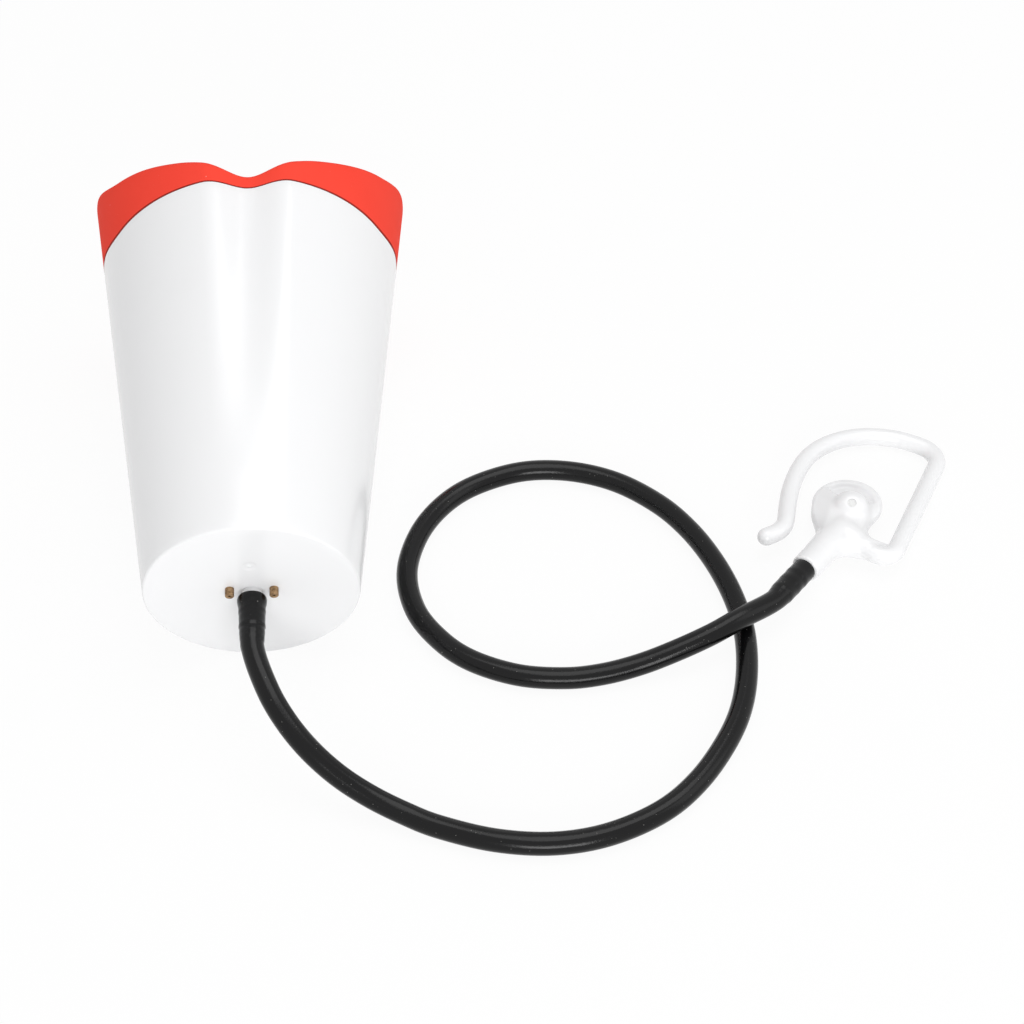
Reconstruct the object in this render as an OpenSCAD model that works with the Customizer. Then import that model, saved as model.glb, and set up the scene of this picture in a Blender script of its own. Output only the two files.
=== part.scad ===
// Voice-muffling practice cup with a listening hose and an ear hook.
// The cup lies on its side, with its closed end towards -Y and its mouth towards +Y.
// The floor is z = 0, and the origin is at the middle of the footprint without the hose.

/* [Cup] */
// Outer diameter at the closed end
end_d = 66; // [56:1:80]
// Outer diameter at the white rim
rim_d = 98.8; // [88:0.2:112]
// Length of the white cup along its axis
cup_len = 130.6; // [112:0.2:160]
// Thickness of the cup's wall
wall_t = 2.4; // [1.8:0.1:3.2]
// Thickness of the closed end
floor_t = 3; // [2:0.1:5]
// Bevel round the closed end
end_bevel = 0.5; // [0.3:0.1:1.5]
// Width of the ledge that the wall steps back to behind the rim
rim_ledge = 1; // [0.5:0.1:1.4]
// Height of the wave in the rim at each cheek
cheek_rise = 5; // [0:0.1:7]
// Half of the wave's width, as an angle round the axis
cheek_half = 32; // [24:1:45]
// How much further out the mouth lies at one cheek than half-way
mouth_lean = -1; // [-2:0.1:2]

/* [Nose groove] */
// Depth of the nose groove at the rim
groove_depth = 5.3; // [2:0.1:8]
// Half of the groove's width, as an angle round the axis
groove_half = 17.5; // [12:0.5:20]
// Distance from the closed end at which the groove starts
groove_start = 20; // [10:1:50]

/* [Mouth seal] */
// Height of the seal above the rim, beside the nose and at the chin
seal_h = 8.1; // [6:0.1:14]
// Radius of the face that the seal's edge is cut to
face_r = 66; // [62:1:100]
// Dip of the seal's edge over the nose
nose_dip = 2.2; // [0:0.1:3.5]
// Half width of that dip, in degrees round the rim
dip_half = 22; // [17:0.5:26]
// Thickness of the seal's round lip
lip_t = 3.6; // [3:0.1:5]
// Length of the tongue that plugs into the cup
tongue_len = 8; // [5:0.5:11]
// Thickness of the tongue
tongue_t = 2.4; // [1.8:0.1:3]
// Gap between the seal and the cup
seal_gap = 0.2; // [0.15:0.05:0.4]

/* [Inserts] */
// Thickness of the sleeve that lines the mouth chamber
liner_t = 1.4; // [1:0.1:2]
// Distance from the closed end to the back of the front grille
grille_at = 88; // [80:1:96]
// Thickness of the front grille
grille_t = 2.4; // [1.6:0.1:3.5]
// Diameter of the grille's holes
grille_hole_d = 5; // [3:0.1:6]
// Distance between the centres of the grille's holes
grille_pitch = 8; // [7.2:0.1:12]
// Thickness of the foam plug behind the grille
front_foam_t = 27; // [20:1:30]
// Thickness of the baffle plate between the two foam plugs
baffle_t = 2.4; // [1.6:0.1:4]
// Number of ports round the baffle plate
baffle_ports = 12; // [6:1:16]
// Diameter of the baffle plate's ports
baffle_port_d = 9; // [5:0.5:10]
// Thickness of the foam plug behind the baffle plate
rear_foam_t = 26; // [18:1:28]
// Thickness of the spoked ring that carries the foam
spider_t = 2.6; // [2:0.1:4]
// Number of spokes of the ring
spokes = 6; // [4:1:8]
// Gap between an insert and what is beside it
insert_gap = 0.3; // [0.2:0.05:0.4]

/* [Pick-up] */
// Outer diameter of the pick-up horn's mouth
horn_d = 34; // [28:1:40]
// Length of the pick-up horn
horn_len = 15; // [12:0.5:17]
// Thickness of the horn's wall
horn_t = 1.6; // [1.2:0.1:2.2]
// Diameter of the spigot's flange inside the cup
flange_d = 22; // [19:0.5:26]
// Thickness of the spigot's flange
flange_t = 2; // [1.5:0.1:3]
// Thickness of the gasket under the flange
gasket_t = 1; // [0.6:0.1:2]

/* [Hose and spigots] */
// Outer diameter of the hose
hose_od = 7; // [6:0.1:8]
// Bore of the hose
hose_id = 4; // [3:0.1:4.6]
// Outer diameter of the spigot on the cup
spigot_d = 5; // [4.6:0.1:5.6]
// Diameter of the spigot's root, which flares the hose's end
root_d = 6.7; // [6.2:0.1:7.2]
// Length of the spigot outside the cup
spigot_len = 17; // [14:0.5:20]
// Length of the spigot's root that the hose leaves bare
spigot_bare = 2; // [1:0.5:3]
// Outer diameter of the ear hook's barbed stem
stem_d = 5.4; // [5:0.1:6]
// Length of the ear hook's stem inside the hose
stem_len = 16; // [12:0.5:18]
// Height of a barb above its spigot
barb_h = 0.3; // [0.1:0.05:0.5]
// Bore through the spigot and the stem
sound_bore = 3; // [2:0.1:3.6]
// Running gap between a barb and the hose round it
barb_gap = 0.05; // [0.02:0.01:0.1]

/* [Vent tubes] */
// Outer diameter of a vent tube
vent_d = 2.8; // [2:0.1:3.4]
// Bore of a vent tube
vent_bore = 0.8; // [0.5:0.1:1.2]
// Distance from the middle of the cup to a vent tube, to its side
vent_off = 6.7; // [6.5:0.1:7.5]
// Height of a vent tube above the axis
vent_up = 2.4; // [0:0.1:3]
// Length of a vent tube outside the cup
vent_out = 2.7; // [1:0.1:5]
// Diameter of the rim swaged over the flange at a tube's inner end
vent_rim_d = 4; // [3.6:0.1:4.6]

/* [Ear hook] */
// Diameter of the hook's rod
rod_d = 6; // [5:0.1:7]
// Diameter of the collar that the hose butts against
collar_d = 9.6; // [8.8:0.1:11]
// Length of the collar
collar_len = 14; // [10:0.5:16]
// Length of the hook's straight bar
bar_len = 47.3; // [42:0.1:54]
// Radius of the hook's corner
corner_r = 8; // [6:0.5:11]
// Radius of the hook's large arc
arc_r = 30.5; // [26:0.5:35]
// Diameter of the ear disc
disc_d = 23.5; // [20:0.5:26]
// Thickness of the ear disc
disc_t = 4; // [3:0.1:5]
// Width of the bead round the disc's edge
bead_w = 3.4; // [2.6:0.1:4]
// Depth of the dish inside the bead
dish_depth = 1.2; // [0.5:0.1:1.6]
// Diameter of the ear nozzle's dome
dome_d = 12.2; // [11:0.1:13.5]
// Diameter of the sound hole in the dome
sound_hole_d = 3.4; // [2.6:0.1:4]
// Lean of the sound hole towards the stem
nozzle_lean = 28; // [10:1:32]
// Turn of that lean away from the stem
nozzle_turn = 23; // [0:1:40]
// Radius of the fillets of the web between the collar, the disc and the rod
web_r = 6; // [4:0.5:8]
// Thickness of the web
web_t = 5; // [4:0.1:5.5]
// Radius of the rod's long sweep behind the ear
sweep_r = 70; // [55:1:90]
// Radius of the rod's curled tip
tip_r = 10; // [8:0.5:14]
// Length of the straight between the sweep and the curled tip
tail_len = 9; // [6:0.5:12]
// Length of the straight end of the rod
tip_len = 2.8; // [2:0.1:6]
// Length of the rod from the hub to its first bend
neck_len = 8.3; // [7:0.1:10]
// Radius of the rod's first bend
neck_r = 5; // [4:0.5:7]
// Depth from the dome's surface to the screen in the hole
screen_depth = 0.6; // [0.3:0.1:1.2]
// Thickness of the screen
screen_t = 0.6; // [0.4:0.1:1]

/* [Hidden] */
$fn = 64;

white = [0.95, 0.95, 0.94];
red = [0.93, 0.27, 0.22];
black = [0.16, 0.16, 0.16];
brass = [0.62, 0.47, 0.3];
foam_grey = [0.3, 0.3, 0.32];
eps = 0.01;

// The cup's cone: radius at a distance t from the closed end
end_r = end_d / 2;
rim_r = rim_d / 2;
taper = (rim_r - end_r) / cup_len;
cup_tilt = atan(taper);
function cone_r(t) = end_r + taper * t;

// The nose groove is a soft valley along the top of the cup, at angle 0
function bump(th) = abs(th) >= groove_half ? 0 : (1 + cos(180 * th / groove_half)) / 2;
function dip(th) = abs(th) >= dip_half ? 0 : (1 + cos(180 * th / dip_half)) / 2;
function groove(t) = groove_depth * max(0, (t - groove_start) / (cup_len - groove_start));
function wall_r(t, inset, th) = cone_r(t) - inset - groove(t) * bump(th);

// Where the inserts lie along the axis, from the mouth back to the pick-up
tongue_end = cup_len - tongue_len;
grille_front = grille_at + grille_t;
foam_front_at = grille_at - insert_gap - front_foam_t;
baffle_at = foam_front_at - insert_gap - baffle_t;
foam_rear_at = baffle_at - insert_gap - rear_foam_t;
spider_at = foam_rear_at - insert_gap - spider_t;
insert_in = wall_t + insert_gap;
flange_at = floor_t + gasket_t;
horn_at = flange_at + flange_t;
horn_throat_r = 5;

// Angles of the points round a section, closer together over the groove
fine_a = 2;
fine_half = 20;
coarse_a = 6;
ANGLES = concat([for (a = [-fine_half : fine_a : fine_half]) a],
                [for (a = [fine_half + coarse_a : coarse_a : 360 - fine_half - coarse_a / 2]) a]);

// A section of the cup at a distance t, drawn in by inset
function fold(a) = a > 180 ? a - 360 : a;
function section_pt(t, inset, a) =
    let (r = wall_r(t, inset, fold(a))) [r * sin(a), r * cos(a), t];
function section(t, inset) = [for (a = ANGLES) section_pt(t, inset, a)];

// Where the white rim lies: square to the axis over the nose and under the chin, with a wave
// that rises at each cheek
function cheek(a) =
    let (d = abs(abs(fold(a)) - 90)) d >= cheek_half ? 0 : (1 + cos(180 * d / cheek_half)) / 2;
function rim_t(a) = cup_len + cheek_rise * cheek(a) + mouth_lean * sin(a);
function rim_section(inset) = [for (a = ANGLES) section_pt(rim_t(a), inset, a)];

// Where the seal's edge lies: above the rim by a cut of radius face_r, dipped over the nose
function edge_t(a) =
    let (x = rim_r * sin(a))
    rim_t(a) + seal_h + face_r - sqrt(face_r * face_r - x * x) - nose_dip * dip(fold(a));
function edge_section(back, inset) = [for (a = ANGLES) section_pt(edge_t(a) - back, inset, a)];
// A section part of the way from the rim to the edge
function part_section(f, inset) =
    [for (a = ANGLES) section_pt(rim_t(a) + seal_gap + f * (edge_t(a) - rim_t(a)), inset, a)];

// Triangles between ring i and ring j of n points, and over the end rings
function band(i, j, n) =
    [for (k = [0 : n - 1]) let (m = (k + 1) % n) each [[i * n + k, i * n + m, j * n + m],
                                                       [i * n + k, j * n + m, j * n + k]]];
function low_cap(n) = [for (k = [1 : n - 2]) [0, k + 1, k]];
function high_cap(i, n) = [for (k = [1 : n - 2]) [i * n, i * n + k, i * n + k + 1]];

// A closed solid through rings: capped at both ends, or joined round into a ring-shaped wall
module skin(rings, round_again = false) {
    n = len(rings[0]);
    last = len(rings) - 1;
    sides = [for (i = [0 : last - 1]) each band(i, i + 1, n)];
    ends = round_again ? band(last, 0, n) : concat(low_cap(n), high_cap(last, n));
    polyhedron(points = [for (r = rings) each r], faces = concat(sides, ends));
}

// The cup's own frame: z along its axis to the mouth, y up, its lowest line on the floor
cup_at = [-91.05, -70.45];
cup_roll = 3.8;
module on_cup() {
    translate([cup_at.x, cup_at.y - end_r * sin(cup_tilt), end_r * cos(cup_tilt)])
        rotate([cup_tilt - 90, 0, 0])
            rotate([0, 0, 180 + cup_roll])
                children();
}

// The ear hook's frame: x along its stem away from the hose, z up off the ear side
hook_at = [85.2, -56.5, 8.75];
hook_turn = 48.5;
hook_tilt = 4.1;
module on_hook() {
    translate(hook_at)
        rotate([0, 0, hook_turn])
            rotate([0, hook_tilt, 0])
                children();
}

// ---------- Cup ----------

// Cup of moulded white plastic: one tapered wall with a nose groove and a closed end
module cup_shell() {
    bead_in = wall_t - rim_ledge;
    color(white) on_cup() difference() {
        skin([section(0, end_bevel), section(end_bevel, 0), section(groove_start, 0),
              section(cup_len * 0.45, 0), section(cup_len * 0.72, 0), rim_section(0),
              rim_section(bead_in), section(tongue_end - seal_gap, bead_in),
              section(tongue_end - seal_gap, wall_t), section(cup_len * 0.72, wall_t),
              section(cup_len * 0.45, wall_t), section(groove_start, wall_t),
              section(floor_t, wall_t)]);
        translate([0, 0, -eps])
            cylinder(d = root_d + 2 * barb_gap, h = floor_t + 2 * eps);
        for (side = [-1, 1])
            translate([side * vent_off, vent_up, -eps])
                cylinder(d = vent_d, h = floor_t + 2 * eps);
    }
    color(white) on_cup() spider_stops();
}

// Four short ribs inside the wall that the spoked ring rests on
stop_w = 3;
stop_h = 3;
stop_deep = 3;
module spider_stops() {
    z = spider_at - insert_gap - stop_h;
    reach = cone_r(z) - wall_t + 0.6;
    for (a = [45 : 90 : 315])
        rotate([0, 0, a])
            translate([reach - stop_deep, -stop_w / 2, z])
                cube([stop_deep, stop_w, stop_h]);
}

// Soft red seal: its tongue plugs into the rim, and its edge follows the face
module mouth_seal() {
    tongue_in = wall_t - rim_ledge + seal_gap;
    root_in = tongue_in + tongue_t;
    lip_r = lip_t / 2;
    lip = [for (a = [0 : 30 : 180])
           edge_section(lip_r - lip_r * sin(a), lip_r - lip_r * cos(a))];
    color(red) on_cup() skin(concat(
        [part_section(0, 0), part_section(0.4, 0)], lip,
        [part_section(0.45, root_in), part_section(0, root_in),
         section(tongue_end, root_in), section(tongue_end, tongue_in),
         part_section(0, tongue_in)]), round_again = true);
}

// White sleeve between the grille and the seal's tongue, which holds the inserts in
module chamber_liner() {
    out = wall_t + insert_gap;
    color(white) on_cup() skin([
        section(grille_front + insert_gap, out), section(tongue_end - seal_gap, out),
        section(tongue_end - seal_gap, out + liner_t),
        section(grille_front + insert_gap, out + liner_t)], round_again = true);
}

// ---------- Inserts ----------

// The flat outline of an insert at a distance t
module insert_outline(t) {
    polygon([for (a = ANGLES) let (p = section_pt(t, insert_in, a)) [p.x, p.y]]);
}

// Hole centres on a triangular grid inside a circle of radius r
row_step = sqrt(3) / 2;
function hex_grid(pitch, r) =
    let (n = ceil(r / pitch / row_step))
    [for (j = [-n : n]) for (i = [-n - 1 : n + 1])
     let (p = [(i + (j % 2 == 0 ? 0 : 0.5)) * pitch, j * pitch * row_step])
     if (norm(p) < r) p];

// White grille across the cup, drilled on a triangular grid
grille_land = 4;
module front_grille() {
    clear_r = cone_r(grille_at) - insert_in - groove(grille_at) - grille_land - grille_hole_d / 2;
    color(white) on_cup() difference() {
        translate([0, 0, grille_at])
            linear_extrude(grille_t)
                insert_outline(grille_at);
        for (p = hex_grid(grille_pitch, clear_r))
            translate([p.x, p.y, grille_at - eps])
                cylinder(d = grille_hole_d, h = grille_t + 2 * eps, $fn = 24);
    }
}

// Foam plug with tapered sides
module foam_plug(at, thick) {
    color(foam_grey) on_cup()
        skin([section(at, insert_in), section(at + thick, insert_in)]);
}
module foam_front() { foam_plug(foam_front_at, front_foam_t); }
module foam_rear() { foam_plug(foam_rear_at, rear_foam_t); }

// Plate with a ring of ports near its edge, so that sound has to turn between the foams
baffle_land = 3.5;
module baffle_plate() {
    port_ring = cone_r(baffle_at) - insert_in - groove(baffle_at) - baffle_land - baffle_port_d / 2;
    color(white) on_cup() difference() {
        translate([0, 0, baffle_at])
            linear_extrude(baffle_t)
                insert_outline(baffle_at);
        for (k = [0 : baffle_ports - 1])
            rotate([0, 0, (k + 0.5) * 360 / baffle_ports])
                translate([port_ring, 0, baffle_at - eps])
                    cylinder(d = baffle_port_d, h = baffle_t + 2 * eps);
    }
}

// Spoked ring that keeps the foam off the pick-up horn
spider_rim_w = 4;
spider_hub_d = 12;
spoke_w = 3;
module foam_spider() {
    outer = cone_r(spider_at) - insert_in - groove(spider_at);
    color(white) on_cup()
        translate([0, 0, spider_at])
            linear_extrude(spider_t) {
                difference() {
                    circle(r = outer);
                    circle(r = outer - spider_rim_w);
                }
                circle(d = spider_hub_d);
                for (k = [0 : spokes - 1])
                    rotate(k * 360 / spokes)
                        translate([0, -spoke_w / 2])
                            square([outer - spider_rim_w / 2, spoke_w]);
            }
}

// ---------- Pick-up ----------

// Trumpet-shaped horn that stands on the spigot's flange and gathers the sound
horn_sleeve = 4;
horn_steps = 8;
function horn_r(s) = horn_throat_r + (horn_d / 2 - horn_throat_r) * s * s;
function horn_z(s) = horn_sleeve + (horn_len - horn_sleeve) * s;
module pickup_horn() {
    outside = [for (k = [0 : horn_steps]) let (s = k / horn_steps) [horn_r(s), horn_z(s)]];
    inside = [for (k = [horn_steps : -1 : 0]) let (s = k / horn_steps)
              [horn_r(s) - horn_t, horn_z(s)]];
    color(white) on_cup()
        translate([0, 0, horn_at])
            rotate_extrude()
                polygon(concat([[horn_throat_r, 0]], outside, inside,
                               [[horn_throat_r - horn_t, 0]]));
}

// Half outline of a spigot of length long that points to -z: its tip's chamfer and barbs
barbs = 2;
barb_pitch = 5.8;
barb_len = 1.8;
tip_bevel = 0.5;
function spigot_points(d, long) = concat(
    [[sound_bore / 2, -long], [d / 2 - tip_bevel, -long], [d / 2, tip_bevel - long]],
    [for (k = [0 : barbs - 1]) let (z = 2 - long + k * barb_pitch)
     each [[d / 2, z], [d / 2 + barb_h, z + barb_len], [d / 2, z + barb_len]]]);

// White spigot: barbed outside the cup, with a flange inside it that the vent tubes hold
root_cone = [-6.3, -4];
module hose_spigot() {
    top = flange_at + flange_t;
    color(white) on_cup() difference() {
        rotate_extrude() polygon(concat(spigot_points(spigot_d, spigot_len), [
            [spigot_d / 2, root_cone[0]], [root_d / 2, root_cone[1]], [root_d / 2, flange_at],
            [flange_d / 2, flange_at], [flange_d / 2, top],
            [sound_bore / 2, top]]));
        for (side = [-1, 1])
            translate([side * vent_off, vent_up, flange_at - eps])
                cylinder(d = vent_d, h = flange_t + 2 * eps);
    }
}

// Black rubber washer between the flange and the closed end
module spigot_gasket() {
    color(black) on_cup() difference() {
        translate([0, 0, floor_t])
            cylinder(d = flange_d, h = gasket_t);
        translate([0, 0, floor_t - eps])
            cylinder(d = root_d + 2 * insert_gap, h = gasket_t + 2 * eps);
        for (side = [-1, 1])
            translate([side * vent_off, vent_up, floor_t - eps])
                cylinder(d = vent_d, h = gasket_t + 2 * eps);
    }
}

// Brass vent tube pressed through the end, the gasket and the flange, and swaged inside
vent_rim_h = 0.5;
module vent_tube(side) {
    inner = flange_at + flange_t;
    room = norm([vent_off, vent_up]) - horn_throat_r;
    color(brass) on_cup() translate([side * vent_off, vent_up, 0]) difference() {
        union() {
            translate([0, 0, -vent_out])
                cylinder(d = vent_d, h = vent_out + inner + vent_rim_h);
            translate([0, 0, inner])
                cylinder(d = min(vent_rim_d, 2 * room - 0.1), h = vent_rim_h);
        }
        translate([0, 0, -vent_out - eps])
            cylinder(d = vent_bore, h = vent_out + inner + vent_rim_h + 2 * eps, $fn = 24);
    }
}
module vent_tube_left() { vent_tube(1); }
module vent_tube_right() { vent_tube(-1); }

// ---------- Hose ----------

// Middle of the hose from the cup to the ear hook: down to the floor, round a wide loop,
// and over itself in a low hump
HOSE_ROUTE = [
    [-87, -107.1, 27], [-82, -116.1, 22.5], [-75.5, -123.6, 17.5], [-67.5, -129.6, 12],
    [-58.5, -134.6, 7.5], [-48.5, -139.6, 4.6], [-38.5, -144.6, 3.6], [-22.5, -150.6, 3.6],
    [-5.5, -153.1, 3.6], [11, -151.1, 3.6], [27.5, -144.1, 3.6], [40, -133.6, 3.6],
    [50.5, -119.6, 3.6], [57, -106.6, 3.6], [61, -91.6, 3.6], [62.5, -75.6, 3.6],
    [61, -60.1, 3.6], [57, -44.6, 3.6], [51, -30.6, 3.6], [42.5, -18.1, 3.6],
    [29.5, -6.6, 3.6], [14, -0.1, 3.6], [-2.5, 0.9, 3.6], [-19, -4.6, 3.6],
    [-30.5, -13.6, 3.6], [-39, -26.6, 3.6], [-43.5, -43.1, 3.6], [-41.5, -59.6, 3.6],
    [-34.5, -72.6, 3.6], [-25, -82.1, 3.6], [-11, -89.1, 3.6], [3.5, -91.6, 3.6],
    [15.5, -91.1, 3.8], [27.5, -89.1, 5], [39, -86.6, 7.6], [50.5, -83.1, 10.2],
    [60.5, -78.1, 11.4]];

// Where the two stretched ends of the hose stop, on the spigot and on the stem
cup_sleeve = spigot_len + 3;
hook_sleeve = stem_len + 3;
cup_axis = [0, cos(cup_tilt), sin(cup_tilt)];
cup_face = [cup_at.x, cup_at.y - end_r * sin(cup_tilt), end_r * cos(cup_tilt)];
hook_axis = [cos(hook_turn) * cos(hook_tilt), sin(hook_turn) * cos(hook_tilt), -sin(hook_tilt)];
ROUTE = concat([cup_face - cup_axis * (cup_sleeve - 1)], HOSE_ROUTE,
               [hook_at - hook_axis * (hook_sleeve - 1)]);

// A smooth curve through the route, with two rings to each span
function before(i) = i == 0 ? ROUTE[0] + cup_axis * 14 : ROUTE[i - 1];
function after(i) = i == len(ROUTE) - 1 ? ROUTE[i] + hook_axis * 14 : ROUTE[i + 1];
function on_span(i, s) =
    let (a = before(i), b = ROUTE[i], c = ROUTE[i + 1], d = after(i + 1))
    (2 * b + (c - a) * s + (2 * a - 5 * b + 4 * c - d) * s * s
     + (3 * b - a - 3 * c + d) * s * s * s) / 2;
HOSE_LINE = concat([for (i = [0 : len(ROUTE) - 2]) each [on_span(i, 0), on_span(i, 0.5)]],
                   [ROUTE[len(ROUTE) - 1]]);

// Direction of the hose at one of its rings, and the ring itself
hose_sides = 12;
function heading(i) =
    i == 0 ? -cup_axis : i == len(HOSE_LINE) - 1 ? hook_axis : HOSE_LINE[i + 1] - HOSE_LINE[i - 1];
function unit(v) = v / norm(v);
function hose_ring(i, r) =
    let (t = unit(heading(i)), side = unit(cross([0, 0, 1], t)), up = cross(t, side))
    [for (k = [0 : hose_sides - 1]) let (a = k * 360 / hose_sides)
     HOSE_LINE[i] + r * (cos(a) * side - sin(a) * up)];

// A stretched end, as a half outline with the hose's end at z = 0. Its rubber keeps its
// volume, and a flare, as [radius, length, start of the slope], widens it round a thicker root
function stretched(r) = sqrt(4 * r * r + hose_od * hose_od - hose_id * hose_id) / 2;
module sleeve(d, long, flare = []) {
    fit_r = d / 2 + barb_h + barb_gap;
    big_r = stretched(fit_r);
    small_r = hose_od / 2 + 0.05;
    inner_r = hose_id / 2 + 0.1;
    plug = long - 3;
    wide_r = len(flare) == 0 ? big_r : stretched(flare[0]);
    mouth = len(flare) == 0 ? [[fit_r, 0], [big_r - 0.3, 0], [big_r, 0.3]]
        : [[fit_r, flare[1]], [flare[0], flare[2]], [flare[0], 0], [wide_r - 0.3, 0],
           [wide_r, 0.3], [big_r, flare[1] + 1]];
    rotate_extrude() polygon(concat(mouth, [
        [big_r, plug - 4.5], [big_r - 0.25, plug], [small_r, long - 0.5], [small_r, long],
        [inner_r, long], [inner_r, plug + 0.6], [fit_r, plug]]));
}

// Black rubber hose: one tube with both ends stretched over their barbed spigots
module listening_hose() {
    rings = [0 : len(HOSE_LINE) - 1];
    back = [len(HOSE_LINE) - 1 : -1 : 0];
    color(black) {
        skin(concat([for (i = rings) hose_ring(i, hose_od / 2)],
                    [for (i = back) hose_ring(i, hose_id / 2)]), round_again = true);
        on_cup()
            translate([0, 0, -spigot_bare])
                mirror([0, 0, 1])
                    sleeve(spigot_d, cup_sleeve - spigot_bare,
                           [root_d / 2 + barb_gap, -root_cone[0] - spigot_bare,
                            -root_cone[1] - spigot_bare]);
        on_hook()
            rotate([0, -90, 0])
                sleeve(stem_d, hook_sleeve);
    }
}

// ---------- Ear hook ----------

// The rod's run from the hub, as straights [0, length] and bends [radius, angle]
RUN = [[0, neck_len], [neck_r, 111.4], [0, bar_len], [corner_r, 81.6], [arc_r, 96],
       [sweep_r, 17], [0, tail_len], [-tip_r, 50], [0, tip_len]];
root_x = 22.2;
root_y = -5.1;
root_a = 260.5;
run_start = [root_x, root_y, root_a];

// The place and heading after one step of the run: a bend with a minus radius turns right
function after_step(p, s) =
    s[0] == 0 ? [p[0] + s[1] * cos(p[2]), p[1] + s[1] * sin(p[2]), p[2]]
    : let (turn = sign(s[0]) * s[1])
      [p[0] + s[0] * (sin(p[2] + turn) - sin(p[2])),
       p[1] - s[0] * (cos(p[2] + turn) - cos(p[2])), p[2] + turn];

// Places along the rod: the start of each straight, and equal steps through each bend
bend_step = 10;
function step_places(p, s) =
    let (m = s[0] == 0 ? 1 : ceil(s[1] / bend_step))
    [for (k = [0 : m - 1]) k == 0 ? p : after_step(p, [s[0], s[1] * k / m])];
function rod_places(p, n) =
    n == len(RUN) ? [p] : concat(step_places(p, RUN[n]), rod_places(after_step(p, RUN[n]), n + 1));
ROD_LINE = rod_places(run_start, 0);

// A ring of the rod round one place, moved on along the rod by ahead
rod_sides = 16;
function rod_ring(p, r, ahead) =
    let (c = cos(p[2]), s = sin(p[2]))
    [for (k = [0 : rod_sides - 1]) let (a = k * 360 / rod_sides)
     [p[0] + ahead * c - r * cos(a) * s, p[1] + ahead * s + r * cos(a) * c, -r * sin(a)]];

// The rod's swollen root in the hub, as [distance from the start, swell], and its rounded tip
root_in = 5;
root_swell = 2.2;
root_inset = 0.2;
ROOT = [[-root_in, root_swell], [0, 0.86 * root_swell], [0.6 * root_in, root_swell / 2],
        [1.16 * root_in, 0.18 * root_swell]];
module hook_rod() {
    tip = ROD_LINE[len(ROD_LINE) - 1];
    skin(concat([for (q = ROOT) rod_ring(run_start, rod_d / 2 + q[1], q[0])],
                [for (i = [1 : len(ROD_LINE) - 1]) rod_ring(ROD_LINE[i], rod_d / 2, 0)],
                [for (b = [20 : 20 : 80]) rod_ring(tip, rod_d / 2 * cos(b), rod_d / 2 * sin(b))]));
}

// Round ear disc with a bead round a shallow dish
disc_x = 36.8;
disc_y = 5.2;
disc_at = [disc_x, disc_y];
module ear_disc() {
    bead_r = bead_w / 2;
    top = -rod_d / 2 + disc_t;
    translate([disc_at.x, disc_at.y, 0])
        rotate_extrude() {
            translate([0, -rod_d / 2])
                square([disc_d / 2 - bead_r, disc_t - dish_depth]);
            translate([disc_d / 2 - bead_r, top - bead_r])
                circle(r = bead_r);
            translate([disc_d / 2 - bead_r, -rod_d / 2 + bead_r])
                circle(r = bead_r);
            translate([disc_d / 2 - 2 * bead_r, -rod_d / 2 + bead_r])
                square([2 * bead_r, max(eps, disc_t - 2 * bead_r)]);
        }
}

// The dome and the line of its sound hole
dome_x = 32.9;
dome_y = 2;
dome_z = 2;
dome_foot = 0.8;
dome_at = [dome_x, dome_y, dome_z];
module along_nozzle() {
    translate(dome_at)
        rotate([0, 0, nozzle_turn])
            rotate([0, -nozzle_lean, 0])
                children();
}

// Plan of the web that joins the collar and the rod's root to what is given, with fillets in
// its corners. It ends at a chord of the disc, so that the dish lies open beyond it
shoulder_a = 30;
chord_a = 29;
chord_off = 1;
module web_plan() {
    c = collar_d / 2 - collar_bevel;
    difference() {
        offset(r = -web_r)
            offset(delta = web_r) {
                translate([collar_len / 2, -c])
                    square([dome_at.x - collar_len / 2, 2 * c]);
                translate([run_start[0] - rod_d / 2, run_start[1] - neck_len])
                    square([rod_d - 2 * root_inset, neck_len]);
                children();
            }
        translate([disc_at.x, disc_at.y])
            rotate(chord_a)
                translate([chord_off, -disc_d])
                    square(2 * disc_d);
    }
}

// The web: a low step over the disc with a shoulder that slopes from the collar, and a high
// step round the dome
web_low = -web_t / 2 - root_inset;
low_step = disc_t - rod_d / 2 - root_inset;
module hook_web() {
    c = collar_d / 2 - collar_bevel;
    shoulder_r = disc_d / 2 - bead_w / 2;
    translate([0, 0, web_low])
        linear_extrude(low_step - web_low)
            web_plan() {
                translate([disc_at.x, disc_at.y])
                    circle(r = shoulder_r, $fn = 36);
                polygon([[collar_len, -c], [collar_len, c],
                         disc_at + shoulder_r * [-sin(shoulder_a), cos(shoulder_a)],
                         disc_at]);
            }
    translate([0, 0, web_low])
        linear_extrude(web_t)
            web_plan()
                translate([dome_at.x, dome_at.y])
                    circle(r = dome_d / 2 + dome_foot, $fn = 36);
}
screen_z = dome_d / 2 - screen_depth - screen_t;

collar_bevel = 0.4;
hub_swell = 0.8;
hub_back = 6;

// Half outline of the stem: barbs inside the hose, then the collar, swelling into the hub
module stem_outline() {
    c = collar_d / 2;
    polygon(concat(spigot_points(stem_d, stem_len), [
        [stem_d / 2, 0], [c - collar_bevel, 0], [c, collar_bevel], [c, collar_len * 0.55],
        [c + 0.75 * hub_swell, collar_len], [c + hub_swell, dome_at.x - hub_back], [c, dome_at.x],
        [sound_bore / 2, dome_at.x + hub_swell]]));
}

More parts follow.
